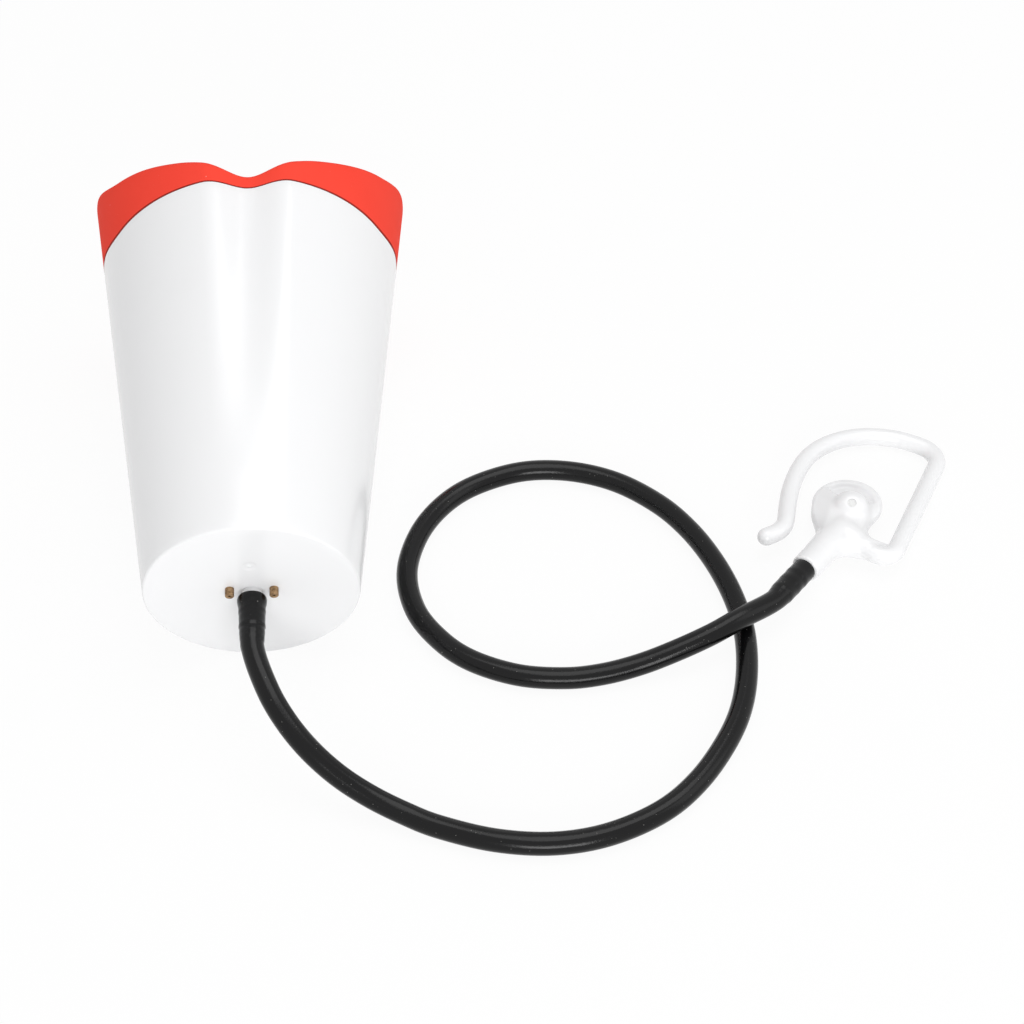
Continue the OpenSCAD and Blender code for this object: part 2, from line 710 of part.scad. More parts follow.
// White ear hook moulded in one piece: stem, hub, disc, domed nozzle and rod
module ear_hook() {
    color(white) on_hook() difference() {
        union() {
            rotate([0, 90, 0])
                rotate_extrude() stem_outline();
            translate(dome_at)
                sphere(d = dome_d);
            ear_disc();
            hook_web();
            hook_rod();
        }
        rotate([0, 90, 0])
            cylinder(d = sound_bore, h = dome_at.x);
        along_nozzle()
            translate([0, 0, -3])
                cylinder(d = sound_hole_d, h = dome_d);
    }
}

// Fine white screen set into the sound hole
module sound_screen() {
    color(white) on_hook() along_nozzle()
        translate([0, 0, screen_z])
            cylinder(d = sound_hole_d - 0.02, h = screen_t);
}

cup_shell();
mouth_seal();
chamber_liner();
front_grille();
foam_front();
baffle_plate();
foam_rear();
foam_spider();
pickup_horn();
hose_spigot();
spigot_gasket();
vent_tube_left();
vent_tube_right();
listening_hose();
ear_hook();
sound_screen();
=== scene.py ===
import math

import bmesh
import bpy
from mathutils import Matrix, Vector


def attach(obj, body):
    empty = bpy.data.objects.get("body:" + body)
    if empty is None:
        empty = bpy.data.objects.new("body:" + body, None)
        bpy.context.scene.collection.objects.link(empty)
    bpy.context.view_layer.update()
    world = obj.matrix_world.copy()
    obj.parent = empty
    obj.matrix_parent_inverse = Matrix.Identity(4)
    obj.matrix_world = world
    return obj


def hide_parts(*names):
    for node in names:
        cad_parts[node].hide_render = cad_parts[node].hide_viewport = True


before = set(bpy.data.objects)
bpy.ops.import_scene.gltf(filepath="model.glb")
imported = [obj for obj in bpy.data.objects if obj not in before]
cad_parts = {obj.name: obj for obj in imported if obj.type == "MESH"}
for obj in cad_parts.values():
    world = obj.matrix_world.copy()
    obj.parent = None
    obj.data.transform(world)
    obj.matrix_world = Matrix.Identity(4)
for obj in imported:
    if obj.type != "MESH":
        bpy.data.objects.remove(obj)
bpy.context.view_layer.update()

# ---- Camera ----
# A lens of 70 mm looks down at the cup's closed end and the loose hose, from in front of them.
# It stands about 0.7 m away, so that distance takes only a little off the far rim's size.
viewer_tilt = math.radians(44.315)
viewer_turn = math.radians(-4.62)
lens = bpy.data.cameras.new("viewer")
lens.lens = 70.31
lens.sensor_width = 36
lens.clip_start = 0.02
viewer = bpy.data.objects.new("viewer", lens)
viewer.location = (-0.04495, -0.48765, 0.4861)
viewer.rotation_euler = (viewer_tilt, 0, viewer_turn)
bpy.context.scene.collection.objects.link(viewer)
bpy.context.scene.camera = viewer
bpy.context.scene.view_settings.view_transform = "Standard"


# ---- Studio ----
# A white table top runs out of view under a white room. Large soft boxes stand above it, to
# the right and low in front, so that the cup's left side falls off to grey.
class Flow:
    """A number that changes over a surface. Sums on it add the nodes that work them out."""

    def __init__(self, finish, socket):
        self.finish = finish
        self.socket = socket

    def __add__(self, other):
        return self.finish.reckon("ADD", self, other)

    def __radd__(self, other):
        return self.finish.reckon("ADD", other, self)

    def __sub__(self, other):
        return self.finish.reckon("SUBTRACT", self, other)

    def __rsub__(self, other):
        return self.finish.reckon("SUBTRACT", other, self)

    def __mul__(self, other):
        return self.finish.reckon("MULTIPLY", self, other)

    def __rmul__(self, other):
        return self.finish.reckon("MULTIPLY", other, self)


class Finish:
    """The nodes of a material or of the room. Plain values sit on its shader's own sockets, and
    what varies over the surface is fed to them."""

    def __init__(self, owner, shader="Principled BSDF", **plain):
        owner.use_nodes = True
        self.owner = owner
        self.tree = owner.node_tree
        self.shader = self.tree.nodes[shader]
        sockets = {item.name.lower().replace(" ", "_"): item for item in self.shader.inputs}
        for key, value in plain.items():
            sockets[key].default_value = value

    def add(self, kind, settings=None, inputs=None, out=0):
        """Any node: its settings first, then what its sockets hold or are fed."""
        node = self.tree.nodes.new(kind)
        for key, value in (settings or {}).items():
            setattr(node, key, value)
        for key, value in (inputs or {}).items():
            self.give(node.inputs[key], value)
        return Flow(self, node.outputs[out])

    def give(self, socket, value):
        if isinstance(value, Flow):
            self.tree.links.new(value.socket, socket)
        else:
            socket.default_value = value

    def feed(self, socket, value):
        self.give(self.shader.inputs[socket], value)

    def reckon(self, operation, first, second):
        return self.add("ShaderNodeMath", {"operation": operation}, {0: first, 1: second})

    def place(self, stretch=(1, 1, 1), kind="Object"):
        """The surface's own coordinates, stretched."""
        where = self.add("ShaderNodeTexCoord", out=kind)
        return self.add("ShaderNodeMapping", inputs={"Vector": where, "Scale": stretch})

    def cloud(self, where, size, detail):
        """Soft noise from 0 to 1, with blots of that size in metres."""
        inputs = {"Vector": where, "Scale": 1 / size, "Detail": detail}
        return self.add("ShaderNodeTexNoise", inputs=inputs)

    def cells(self, where, size, out="Distance"):
        """Round cells of that size in metres: the distance to a middle, or a colour for each."""
        inputs = {"Vector": where, "Scale": 1 / size}
        return self.add("ShaderNodeTexVoronoi", {"feature": "F1"}, inputs, out)

    def rise(self, value, low, high):
        """0 below low, 1 above high and a soft step between them."""
        return self.add(
            "ShaderNodeMapRange",
            {"interpolation_type": "SMOOTHSTEP"},
            {"Value": value, "From Min": low, "From Max": high},
        )

    def specks(self, where, spacing, size, share):
        """Small round dots: one in each share of the cells that are that far apart."""
        edge = size / spacing
        small = 1 - self.rise(self.cells(where, spacing), edge * 0.6, edge)
        colour = self.cells(where, spacing, "Color")
        chance = self.add("ShaderNodeSeparateColor", inputs={0: colour})
        return small * self.rise(chance, 1 - share, 1 - share + 0.01)

    def blend(self, amount, first, second):
        """From one colour to another."""
        inputs = {0: amount, 6: first, 7: second}
        return self.add("ShaderNodeMix", {"data_type": "RGBA"}, inputs, out=2)

    def relief(self, height, depth):
        """Lets a height from 0 to 1 stand out by that depth in metres."""
        bump = self.add("ShaderNodeBump", inputs={"Height": height, "Distance": depth})
        self.feed("Normal", bump)


def surface(name, **plain):
    """The finish of what is made of one stuff."""
    return Finish(bpy.data.materials.new(name), **plain)


def show_white(finish, output, share):
    """Lets the camera, mirrors and glass see plain white, where other rays meet the shader."""
    seen_by = ("Is Camera Ray", "Is Glossy Ray", "Is Transmission Ray")
    camera, mirror, glass = [finish.add("ShaderNodeLightPath", out=ray) for ray in seen_by]
    part = finish.reckon("MINIMUM", (camera + mirror + glass) * share, share)
    glow = finish.add("ShaderNodeEmission", inputs={"Color": (1, 1, 1, 1), "Strength": 1.0})
    lit = Flow(finish, finish.shader.outputs[0])
    shown = finish.add("ShaderNodeMixShader", inputs={0: part, 1: lit, 2: glow})
    finish.give(finish.tree.nodes[output].inputs["Surface"], shown)


table_finish = surface(
    "table_white", base_color=(0.92, 0.92, 0.92, 1), roughness=0.6, specular_ior_level=0.1
)
show_white(table_finish, "Material Output", 0.93)
top = bmesh.new()
bmesh.ops.create_grid(top, x_segments=1, y_segments=1, size=6)
table_mesh = bpy.data.meshes.new("table_top")
top.to_mesh(table_mesh)
top.free()
table_mesh.materials.append(table_finish.owner)
table_top = bpy.data.objects.new("table_top", table_mesh)
bpy.context.scene.collection.objects.link(table_top)

room = bpy.data.worlds.new("room")
bpy.context.scene.world = room
room_light = Finish(room, "Background", color=(1, 1, 1, 1), strength=0.54)
show_white(room_light, "World Output", 1.0)


def soft_box(name, place, aim, size, power):
    lamp = bpy.data.lights.new(name, "AREA")
    lamp.shape = "RECTANGLE"
    lamp.size, lamp.size_y = size
    lamp.energy = power
    holder = bpy.data.objects.new(name, lamp)
    holder.location = place
    holder.rotation_euler = (Vector(aim) - Vector(place)).to_track_quat("-Z", "Y").to_euler()
    bpy.context.scene.collection.objects.link(holder)


soft_box("overhead_box", place=(0.15, 0.1, 1.1), aim=(0, 0, 0), size=(0.7, 0.9), power=4.2)
soft_box("right_box", place=(1.0, -0.3, 0.7), aim=(0, 0, 0.03), size=(0.6, 0.8), power=1.15)
soft_box(
    "front_box", place=(0.05, -1.15, 0.4), aim=(-0.02, -0.05, 0.03), size=(0.6, 0.4), power=5.5
)

# ---- Listening hose ----
# One length of black extruded rubber tube, 7 mm outside and 4 mm inside. Both ends are
# stretched over barbed spigots, so they swell and show the barbs, and hold by their own grip.
MM = 0.001
end_across = 66
rim_across = 98.8
cup_length = 130.6
cup_foot = (-91.05, -70.45)
taper = (rim_across - end_across) / 2 / cup_length
tilt = math.atan(taper)
end_radius = end_across / 2
cup_face = Vector((
    cup_foot[0], cup_foot[1] - end_radius * math.sin(tilt), end_radius * math.cos(tilt)
))
cup_axis = Vector((0, math.cos(tilt), math.sin(tilt)))
hook_place = Vector((85.2, -56.5, 8.75))
hook_turn, hook_tip = math.radians(48.5), math.radians(4.1)
hook_pose = Matrix.Rotation(hook_turn, 4, "Z") @ Matrix.Rotation(hook_tip, 4, "Y")
hook_axis = hook_pose @ Vector((1, 0, 0))
hose_radius = 3.5
hose_route = [
    (-87, -107.1, 27), (-82, -116.1, 22.5), (-75.5, -123.6, 17.5), (-67.5, -129.6, 12),
    (-58.5, -134.6, 7.5), (-48.5, -139.6, 4.6), (-38.5, -144.6, 3.6), (-22.5, -150.6, 3.6),
    (-5.5, -153.1, 3.6), (11, -151.1, 3.6), (27.5, -144.1, 3.6), (40, -133.6, 3.6),
    (50.5, -119.6, 3.6), (57, -106.6, 3.6), (61, -91.6, 3.6), (62.5, -75.6, 3.6),
    (61, -60.1, 3.6), (57, -44.6, 3.6), (51, -30.6, 3.6), (42.5, -18.1, 3.6), (29.5, -6.6, 3.6),
    (14, -0.1, 3.6), (-2.5, 0.9, 3.6), (-19, -4.6, 3.6), (-30.5, -13.6, 3.6), (-39, -26.6, 3.6),
    (-43.5, -43.1, 3.6), (-41.5, -59.6, 3.6), (-34.5, -72.6, 3.6), (-25, -82.1, 3.6),
    (-11, -89.1, 3.6), (3.5, -91.6, 3.6), (15.5, -91.1, 3.8), (27.5, -89.1, 5), (39, -86.6, 7.6),
    (50.5, -83.1, 10.2), (60.5, -78.1, 11.4),
]
# Width of the hose over its spigots, as (distance from the end, radius): it dips at each barb
cup_swell = [
    (0, 4.35), (0.4, 4.6), (1.6, 4.52), (3.4, 4.2), (4.4, 4.12), (5.4, 4.26), (6, 3.98),
    (6.8, 4.06), (9.2, 4), (10.8, 4.1), (11.4, 3.84), (12.4, 3.92), (14.6, 3.78), (16.4, 3.6),
    (19, hose_radius),
]
hook_swell = [
    (0, 3.75), (0.4, 3.93), (3.5, 3.9), (5.5, 4.02), (7, 3.9), (9.6, 4.02), (11.4, 3.92),
    (14.4, 3.96), (16, 3.72), (18.5, hose_radius),
]
hose_sides = 28
near_bore, far_bore, bore_shown = 3.3, 3.0, 1.2
bare_root = 2
cup_straight, cup_steps = 19, 24
hook_straight, hook_steps = 18, 28
bend_lead, bend_steps = 14, 8


def smooth_line(points, before, after, steps):
    """A curve through the points, with so many steps between each two."""
    line = []
    ends = [before, *points, after]
    for a, b, c, d in zip(ends, ends[1:], ends[2:], ends[3:]):
        for k in range(steps):
            s = k / steps
            line.append(
                (2 * b + (c - a) * s + (2 * a - 5 * b + 4 * c - d) * s**2
                 + (3 * b - a - 3 * c + d) * s**3) / 2
            )
    return line + [points[-1]]


def along_profile(distance, profile):
    """Reads a width from a list of (distance, width)."""
    for (a, wide_a), (b, wide_b) in zip(profile, profile[1:]):
        if distance <= b:
            s = (distance - a) / (b - a)
            s = s * s * (3 - 2 * s)
            return wide_a + (wide_b - wide_a) * s
    return profile[-1][1]


def section_at(centre, heading, radius):
    """Turns a unit circle into a section across a line."""
    side = Vector((0, 0, 1)).cross(heading).normalized()
    up = heading.cross(side)
    turn = Matrix((side, up, heading)).transposed().to_4x4()
    return Matrix.Translation(centre) @ turn @ Matrix.Diagonal((radius, radius, radius, 1))


def next_ring(bm, edges):
    """Extrudes a ring of edges in place, and gives the new ring's vertices and edges."""
    made = bmesh.ops.extrude_edge_only(bm, edges=edges)["geom"]
    ring = [v for v in made if isinstance(v, bmesh.types.BMVert)]
    new = set(ring)
    edges = [e for e in made if isinstance(e, bmesh.types.BMEdge) and set(e.verts) <= new]
    return ring, edges


def pull_section(bm, line, radii, sides):
    """Pulls a round section along a line and returns its two end rings. Each vertex keeps how
    far along the line it is and which side of the section it is on."""
    along = bm.verts.layers.float.new("along")
    turn = bm.verts.layers.int.new("turn")
    straight = [(b - a).normalized() for a, b in zip(line, line[1:])]
    between = [(a + b).normalized() for a, b in zip(straight, straight[1:])]
    headings = [straight[0], *between, straight[-1]]
    place = section_at(line[0], headings[0], radii[0])
    ring = bmesh.ops.create_circle(bm, segments=sides, radius=1, matrix=place)["verts"]
    for k, v in enumerate(ring):
        v[turn] = k
    first = ring
    edges = [e for e in bm.edges if e.verts[0] in set(ring)]
    travelled = 0.0
    for k in range(1, len(line)):
        travelled += (line[k] - line[k - 1]).length
        ring, edges = next_ring(bm, edges)
        next_place = section_at(line[k], headings[k], radii[k])
        bmesh.ops.transform(bm, matrix=next_place @ place.inverted(), verts=ring)
        place = next_place
        for v in ring:
            v[along] = travelled
    return first, ring


def close_ring(bm, ring, inner, inward):
    """Closes a tube's end: a flat wall as far as its bore, and the bore's start."""
    edges = [e for e in bm.edges if set(e.verts) <= set(ring)]
    centre = sum((v.co for v in ring), Vector()) / len(ring)
    outer = sum((v.co - centre).length for v in ring) / len(ring)
    for depth in (0, bore_shown):
        ring, edges = next_ring(bm, edges)
        for v in ring:
            v.co = centre + (v.co - centre) * (inner / outer) + inward * depth
        centre = centre + inward * depth
        outer = inner
    bmesh.ops.edgeloop_fill(bm, edges=edges)


def finished_piece(name, bm, finish, placing, sharp_from=40, body="cup"):
    """Turns a bmesh in millimetres into a piece where it belongs, which rides on its body."""
    bmesh.ops.transform(bm, matrix=placing @ Matrix.Scale(MM, 4), verts=bm.verts)
    bmesh.ops.recalc_face_normals(bm, faces=bm.faces)
    mesh = bpy.data.meshes.new(name)
    bm.to_mesh(mesh)
    bm.free()
    mesh.materials.append(finish.owner)
    mesh.shade_smooth()
    mesh.set_sharp_from_angle(angle=math.radians(sharp_from))
    piece = bpy.data.objects.new(name, mesh)
    bpy.context.scene.collection.objects.link(piece)
    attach(piece, body)
    return piece


rubber_black, dust_grey = (0.004, 0.004, 0.0043, 1), (0.4, 0.39, 0.37, 1)
hose_finish = surface(
    "black_rubber", base_color=rubber_black, roughness=0.3, specular_ior_level=0.22
)
lengthways = hose_finish.place((1, 0.02, 1), "UV")
draw_lines = hose_finish.cloud(lengthways, 0.0011, 2)
soft_patches = hose_finish.cloud(hose_finish.place(), 0.012, 3)
grain = hose_finish.cloud(hose_finish.place(), 0.0005, 2)
dust = hose_finish.specks(hose_finish.place(), 0.0042, 0.00026, 0.35)
fine_dust = hose_finish.specks(hose_finish.place(), 0.0014, 0.00016, 0.35)
dusty = dust * 0.7 + fine_dust * 0.4
hose_finish.feed("Base Color", hose_finish.blend(dusty, rubber_black, dust_grey))
hose_finish.feed("Roughness", 0.1 + draw_lines * 0.06 + soft_patches * 0.08 + dust * 0.4)
hose_finish.relief(draw_lines * 0.5 + soft_patches * 0.3 + grain * 0.2 + dust * 0.4, 0.00014)

start = cup_face - cup_axis * bare_root
bend_start = cup_face - cup_axis * cup_straight
bend_end = hook_place - hook_axis * hook_straight
middle = smooth_line(
    [bend_start, *[Vector(p) for p in hose_route], bend_end],
    bend_start + cup_axis * bend_lead,
    bend_end + hook_axis * bend_lead,
    bend_steps,
)
run_in = [start.lerp(bend_start, k / cup_steps) for k in range(cup_steps)]
run_out = [bend_end.lerp(hook_place, k / hook_steps) for k in range(1, hook_steps + 1)]
hose_line = run_in + middle + run_out
reached = [0.0]
for a, b in zip(hose_line, hose_line[1:]):
    reached.append(reached[-1] + (b - a).length)
hose_radii = [
    max(along_profile(s, cup_swell), along_profile(reached[-1] - s, hook_swell)) for s in reached
]
tube = bmesh.new()
near_ring, far_ring = pull_section(tube, hose_line, hose_radii, hose_sides)
close_ring(tube, near_ring, near_bore, -cup_axis)
close_ring(tube, far_ring, far_bore, -hook_axis)
along = tube.verts.layers.float["along"]
turn = tube.verts.layers.int["turn"]
around = tube.loops.layers.uv.new("UVMap")
for face in tube.faces:
    wraps = {v[turn] for v in face.verts} >= {0, hose_sides - 1}
    for loop in face.loops:
        side = hose_sides if wraps and loop.vert[turn] == 0 else loop.vert[turn]
        turned = side / hose_sides * 2 * math.pi
        loop[around].uv = (turned * hose_radius * MM, loop.vert[along] * MM)
hose = finished_piece("hose_tube", tube, hose_finish, Matrix())
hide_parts("listening_hose")
[p * MM for p in hose_line]

# ---- Cup ----
# One injection moulding in glossy white plastic: a tapered wall with a nose groove that fades
# out down its length, a step behind the rim for the seal's tongue, and a closed small end.
cup_roll = math.radians(3.8)
CUP = (
    Matrix.Translation(cup_face * MM)
    @ Matrix.Rotation(tilt - math.pi / 2, 4, "X")
    @ Matrix.Rotation(math.pi + cup_roll, 4, "Z")
)
wall = 2.4
rim_wall = 1.4
floor_thick = 3
end_bevel = 0.8
spigot_hole = 3.4
seal_gap = 0.2
tongue_end = cup_length - 8
ledge = tongue_end - seal_gap
groove_start, groove_full, groove_half = 20, 5.3, math.radians(17.5)
cheek_rise, cheek_half = 5, 32
mouth_lean = 1
gate_place = Vector((0.4, 14))
gate_from, gate_gap, gate_rings = 11.2, 0.3, 20
dish_radius, dish_depth = 2.1, 0.22
nub_radius, nub_height = 0.8, 0.4
# Shapes that follow the cone are spun with its outside at this radius, then moved onto it
spin_radius = 80


def cone_radius(t):
    return end_radius + taper * t


def wave(off, half):
    """A soft swell: 1 in its middle, and 0 from half its width on."""
    return (1 + math.cos(math.pi * off / half)) / 2 if abs(off) < half else 0.0


def groove_depth(t):
    return groove_full * max(0.0, (t - groove_start) / (cup_length - groove_start))


def rim_place(angle):
    """Where the white rim lies along the axis: a wave rises at each cheek."""
    off = abs(abs(math.degrees(angle)) - 90)
    return cup_length + cheek_rise * wave(off, cheek_half) - mouth_lean * math.sin(angle)


def to_rim(angle, t):
    """Lifts what lies near the rim to the rim's wave, as far back as its ledge."""
    share = min(1.0, max(0.0, (t - tongue_end) / (cup_length - 1 - tongue_end)))
    return t + share * (rim_place(angle) - cup_length)


def rounded(points, steps=4):
    """Rounds the corners of a closed outline of (across, along, radius)."""
    outline = []
    count = len(points)
    for k, (x, y, radius) in enumerate(points):
        corner = Vector((x, y))
        if radius == 0:
            outline.append(corner)
            continue
        back = (Vector(points[k - 1][:2]) - corner).normalized()
        on = (Vector(points[(k + 1) % count][:2]) - corner).normalized()
        half = back.angle(on) / 2
        reach = radius / math.tan(half)
        centre = corner + (back + on).normalized() * (radius / math.sin(half))
        a, b = corner + back * reach - centre, corner + on * reach - centre
        sweep = a.angle_signed(b)
        for i in range(steps + 1):
            s = -sweep * i / steps
            x_turned = a.x * math.cos(s) - a.y * math.sin(s)
            y_turned = a.x * math.sin(s) + a.y * math.cos(s)
            outline.append(centre + Vector((x_turned, y_turned)))
    return outline


def spun(outline, steps, closed=True):
    """Spins an outline of (across, along) round the z axis."""
    bm = bmesh.new()
    verts = [bm.verts.new((p[0], 0, p[1])) for p in outline]
    pairs = list(zip(verts, verts[1:])) + ([(verts[-1], verts[0])] if closed else [])
    edges = [bm.edges.new(pair) for pair in pairs]
    bmesh.ops.spin(
        bm, geom=verts + edges, cent=(0, 0, 0), axis=(0, 0, 1), angle=2 * math.pi, steps=steps,
        use_merge=True,
    )
    bmesh.ops.remove_doubles(bm, verts=bm.verts, dist=0.001)
    return bm


def spaced(points, gap):
    """Adds points to an outline wherever two of its points are further apart than gap."""
    fine = []
    for a, b in zip(points, points[1:] + points[:1]):
        count = max(1, math.ceil((b - a).length / gap))
        fine += [a.lerp(b, k / count) for k in range(count)]
    return fine


def on_cone(bm, lift=lambda angle, t: t):
    """Moves a spun shape, whose radius says how far it lies inside the cone, onto the cone."""
    for v in bm.verts:
        radius = math.hypot(v.co.x, v.co.y)
        angle = math.atan2(v.co.x, v.co.y)
        inset = spin_radius - radius
        t = lift(angle, v.co.z)
        r = cone_radius(t) - inset - groove_depth(t) * wave(angle, groove_half)
        v.co = (r * math.sin(angle), r * math.cos(angle), t)


def shell_point(radius, t, rounding):
    """A corner at a true radius, written as the outline of a shape on the cone has it."""
    return (spin_radius - (cone_radius(t) - radius), t, rounding)


plastic_white, handled_grey = (0.885, 0.887, 0.895, 1), (0.5, 0.48, 0.45, 1)
white_finish = surface("white_plastic", base_color=plastic_white, roughness=0.2)
where = white_finish.place()
handling = white_finish.cloud(where, 0.03, 4)
ripple = white_finish.cloud(where, 0.018, 1)
skin = white_finish.cloud(where, 0.0006, 2)
motes = white_finish.specks(where, 0.007, 0.00022, 0.22)
soiled = motes * 0.55 + white_finish.rise(handling, 0.62, 0.9) * 0.05
white_finish.feed("Base Color", white_finish.blend(soiled, plastic_white, handled_grey))
white_finish.feed("Roughness", 0.17 + handling * 0.1 + motes * 0.3)
white_finish.relief(ripple * 0.85 + skin * 0.06, 0.00016)

cup_outline = rounded([
    shell_point(spigot_hole, 0, 0),
    *[shell_point(gate_from + gate_gap * k, 0, 0) for k in range(gate_rings)],
    shell_point(end_radius, 0, end_bevel), (spin_radius, cup_length, 0.3),
    (spin_radius - rim_wall, cup_length, 0.25), (spin_radius - rim_wall, ledge, 0.2),
    (spin_radius - wall, ledge, 0.2), (spin_radius - wall, floor_thick, 1),
    shell_point(spigot_hole, floor_thick, 0),
])
cup_bm = spun(spaced(cup_outline, 3), 240)
on_cone(cup_bm, to_rim)
for v in cup_bm.verts:
    if v.co.z < 0.1:
        off = (Vector((v.co.x, v.co.y)) - gate_place).length
        dish = max(0.0, 1 - (off / dish_radius) ** 2)
        nub = max(0.0, 1 - (off / nub_radius) ** 2)
        v.co.z += dish_depth * dish**0.5 - nub_height * nub
cup = finished_piece("cup_moulding", cup_bm, white_finish, CUP, 35)
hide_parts("cup_shell")

# ---- Mouth seal ----
# Soft red silicone, moulded in one piece: a round lip cut to the shape of a face, a wall that
# runs on flush from the cup, and a tongue that plugs into the rim and can be peeled out.
seal_height = 8.1
face_radius = 66
lip = 1.8
tongue = 2.4
outer = spin_radius
outside_tongue = outer - rim_wall - seal_gap
inside = outside_tongue - tongue
seam_at, seam_reach, seam_skin = cup_length + seal_gap, 0.4, 0.6
foot_band = 0.7
wall_end = cup_length + 6
nominal_edge = cup_length + 20
shoulder = nominal_edge - lip
nose_dip, dip_left, dip_right = 2.3, math.radians(26.5), math.radians(28)
cheek_sag, sag_middle, sag_half = 1.5, 60, 16


def seal_edge(angle):
    """Where the lip ends: cut to a round face, dipped over the nose, and sagging at the left."""
    across = rim_across / 2 * math.sin(angle)
    rise = face_radius - math.sqrt(face_radius**2 - across**2)
    dip = nose_dip * wave(angle, dip_left if angle > 0 else dip_right)
    sag = cheek_sag * math.exp(-(((math.degrees(angle) - sag_middle) / sag_half) ** 2))
    return rim_place(angle) + seal_height + rise - dip - sag


def to_face(angle, t):
    """Stretches the wall between the rim and the lip, and leaves the lip's round as it is."""
    if t <= seam_at:
        return to_rim(angle, t)
    edge = seal_edge(angle)
    if t >= shoulder:
        return t - nominal_edge + edge
    low = rim_place(angle) + seal_gap
    return low + (t - seam_at) * (edge - lip - low) / (shoulder - seam_at)


def arc(x, y, radius, degrees):
    """Points on a round whose middle is at (x, y)."""
    turns = [math.radians(a) for a in degrees]
    return [(x + radius * math.cos(a), y + radius * math.sin(a)) for a in turns]


# The dark red at the seal's foot is painted shadow: it stands for the shade in the gap against
# the cup's rim.
silicone_red, painted_seam_shadow = (0.95, 0.07, 0.045, 1), (0.2, 0.02, 0.015, 1)
deeper_red, paler_red = (0.93, 0.064, 0.04, 1), (0.97, 0.078, 0.05, 1)
lint_pink = (0.95, 0.62, 0.55, 1)
red_finish = surface(
    "red_silicone", base_color=silicone_red, roughness=0.8, specular_ior_level=0.04
)
where = red_finish.place()
tone = red_finish.cloud(where, 0.03, 3)
matt = red_finish.cloud(where, 0.0005, 2)
lint = red_finish.specks(where, 0.004, 0.00025, 0.35)
fluff = red_finish.specks(where, 0.0017, 0.00013, 0.2)
# Mask of the painted seam shadow, read from the seal's mesh, then blended over the red.
seam_shadow_mask = red_finish.add("ShaderNodeAttribute", {"attribute_name": "seam"}, out="Fac")
clean_red = red_finish.blend(tone, deeper_red, paler_red)
linty_red = red_finish.blend(lint * 0.4 + fluff * 0.15, clean_red, lint_pink)
red_finish.feed("Base Color", red_finish.blend(seam_shadow_mask * 0.85, linty_red, painted_seam_shadow))
red_finish.feed("Roughness", 0.7 + tone * 0.1 + lint * 0.1)
red_finish.relief(matt * 0.5 + tone * 0.4, 0.00012)

lip_round = arc(outer - lip, shoulder, lip, range(15, 180, 15))
seal_outline = rounded([
    (outer, seam_at, 0.35), (outer, seam_at + foot_band, 0), (outer, shoulder, 0),
    *[(x, t, 0) for x, t in lip_round], (outer - 2 * lip, shoulder, 0),
    (inside, wall_end, 1.5), (inside, tongue_end, 0.5), (outside_tongue, tongue_end, 0.3),
    (outside_tongue, seam_at, 0),
], 3)
seal_bm = spun(spaced(seal_outline, 2), 240)
# Marks the seal's outer skin next to the cup's rim, where the painted seam shadow goes.
seam = seal_bm.verts.layers.float.new("seam")
for v in seal_bm.verts:
    shows = math.hypot(v.co.x, v.co.y) > outer - seam_skin
    v[seam] = 1.0 if shows and abs(v.co.z - seam_at) < seam_reach else 0.0
on_cone(seal_bm, to_face)
seal = finished_piece("mouth_seal_lip", seal_bm, red_finish, CUP, 50, "seal")
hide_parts("mouth_seal")

# ---- Spigot, gasket and vent tubes ----
# A white turned-looking spigot with two barbs stands through the closed end. Inside the cup
# its flange lies on a rubber gasket, and two brass tubes pass through all three and are
# swaged over the flange, which holds it.
sound_bore = 1.5
spigot_radius, spigot_length = 2.5, 17
root_radius, root_cone, root_foot = 3.35, -6.3, -4
gasket_bore = 3.65
flange_radius, flange_at, flange_top = 11, 4, 6
barbs, barb_pitch, barb_run, barb_height = 2, 5.8, 1.8, 0.3
tip_chamfer, tip_clear = 0.5, 2
vent_radius, vent_bore, vent_out = 1.4, 0.4, 2.7
vent_aside, vent_up = 6.7, 2.4
swage_radius, swage_top = 2, flange_top + 0.5


def barbed(radius, long):
    """Half outline of a spigot that points to -z: the tip's chamfer, then its barbs."""
    outline = [
        (sound_bore, -long, 0), (radius - tip_chamfer, -long, 0.2),
        (radius, tip_chamfer - long, 0),
    ]
    for k in range(barbs):
        z = tip_clear - long + k * barb_pitch
        top = z + barb_run
        outline += [(radius, z, 0), (radius + barb_height, top, 0.12), (radius, top, 0)]
    return outline


spigot_outline = rounded([
    *barbed(spigot_radius, spigot_length), (spigot_radius, root_cone, 0),
    (root_radius, root_foot, 0.5), (root_radius, flange_at, 0), (flange_radius, flange_at, 0.3),
    (flange_radius, flange_top, 0.3), (sound_bore, flange_top, 0.2),
])
spigot = finished_piece("cup_spigot", spun(spigot_outline, 64), white_finish, CUP, 35)
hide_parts("hose_spigot")

gasket_finish = surface("gasket_rubber", base_color=(0.02, 0.02, 0.02, 1), roughness=0.6)
gasket_grain = gasket_finish.cloud(gasket_finish.place(), 0.0008, 3)
gasket_finish.feed("Roughness", 0.5 + gasket_grain * 0.2)
gasket_finish.relief(gasket_grain, 0.0001)
gasket_outline = rounded([
    (gasket_bore, floor_thick, 0), (flange_radius, floor_thick, 0.2),
    (flange_radius, flange_at, 0.2), (gasket_bore, flange_at, 0),
])
gasket = finished_piece("flange_gasket", spun(gasket_outline, 96), gasket_finish, CUP)
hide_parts("spigot_gasket")

